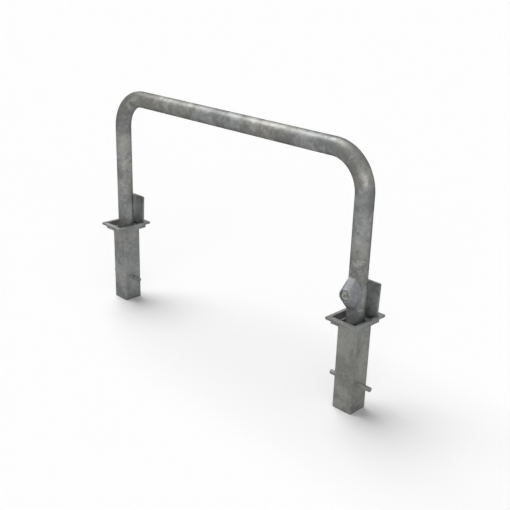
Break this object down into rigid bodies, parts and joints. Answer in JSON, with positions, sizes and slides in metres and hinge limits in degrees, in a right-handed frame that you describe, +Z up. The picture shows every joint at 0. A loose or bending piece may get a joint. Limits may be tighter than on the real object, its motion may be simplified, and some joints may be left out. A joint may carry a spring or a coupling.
{
  "type": "removable hoop barrier",
  "caption": "Galvanised tube hoop that stands in hinged-lid ground sockets, with a key lock in a housing on one leg.",
  "frame": {"origin": "midway between the legs, at the bottom of the ground sockets; the ground is at z = 0.410", "axes": "+X along the hoop towards the leg with the lock, +Z up, -Y the side that the lock faces"},
  "size_m": [1.704, 0.195, 1.098],
  "materials": {
    "galvanised_hoop": "hot-dip galvanised, mottled",
    "galvanised_socket": "hot-dip galvanised, mottled",
    "galvanised_lid": "hot-dip galvanised, dull",
    "plated_fixing": "zinc plated, satin",
    "lock_metal": "nickel plated, satin"
  },
  "bodies": {
    "sockets": {"left_socket_tube": "galvanised_socket", "left_recess_tray": "galvanised_socket", "left_top_plate": "galvanised_socket", "left_anchor_bar": "galvanised_socket", "left_hinge_pin": "plated_fixing", "right_socket_tube": "galvanised_socket", "right_recess_tray": "galvanised_socket", "right_top_plate": "galvanised_socket", "right_anchor_bar": "galvanised_socket", "right_hinge_pin": "plated_fixing", "keeper_box": "galvanised_socket"},
    "hoop": {"hoop_tube": "galvanised_hoop", "lock_housing": "galvanised_hoop", "lock_barrel": "lock_metal", "lock_washer": "plated_fixing", "lock_nut": "plated_fixing", "bar_pivot": "plated_fixing", "pivot_spacers": "plated_fixing"},
    "left_lid": {"left_lid": "galvanised_lid"},
    "right_lid": {"right_lid": "galvanised_lid"},
    "lock_plug": {"lock_plug": "lock_metal", "lock_cam": "plated_fixing", "cam_screw": "plated_fixing"},
    "locking_bar": {"locking_bar": "plated_fixing"}
  },
  "joints": [
    {"name": "hoop_lift", "type": "slide", "parent": "sockets", "child": "hoop", "axis": [0, 0, 1], "range_m": [0, 0.32]},
    {"name": "left_lid_swing", "type": "hinge", "parent": "sockets", "child": "left_lid", "pos_m": [-0.75, 0.065, 0.405], "axis": [1, 0, 0], "range_deg": [0, 10]},
    {"name": "right_lid_swing", "type": "hinge", "parent": "sockets", "child": "right_lid", "pos_m": [0.75, 0.065, 0.405], "axis": [1, 0, 0], "range_deg": [0, 10]},
    {"name": "lock_turn", "type": "hinge", "parent": "hoop", "child": "lock_plug", "pos_m": [0.75, -0.05, 0.517], "axis": [0, -1, 0], "range_deg": [0, 90]},
    {"name": "bar_swing", "type": "hinge", "parent": "hoop", "child": "locking_bar", "pos_m": [0.75, -0.015, 0.455], "axis": [0, 1, 0], "range_deg": [0, 8.41]}
  ],
  "couplings": [
    {"joint": "bar_swing", "follows": "lock_turn", "ratio": 0.09336}
  ]
}
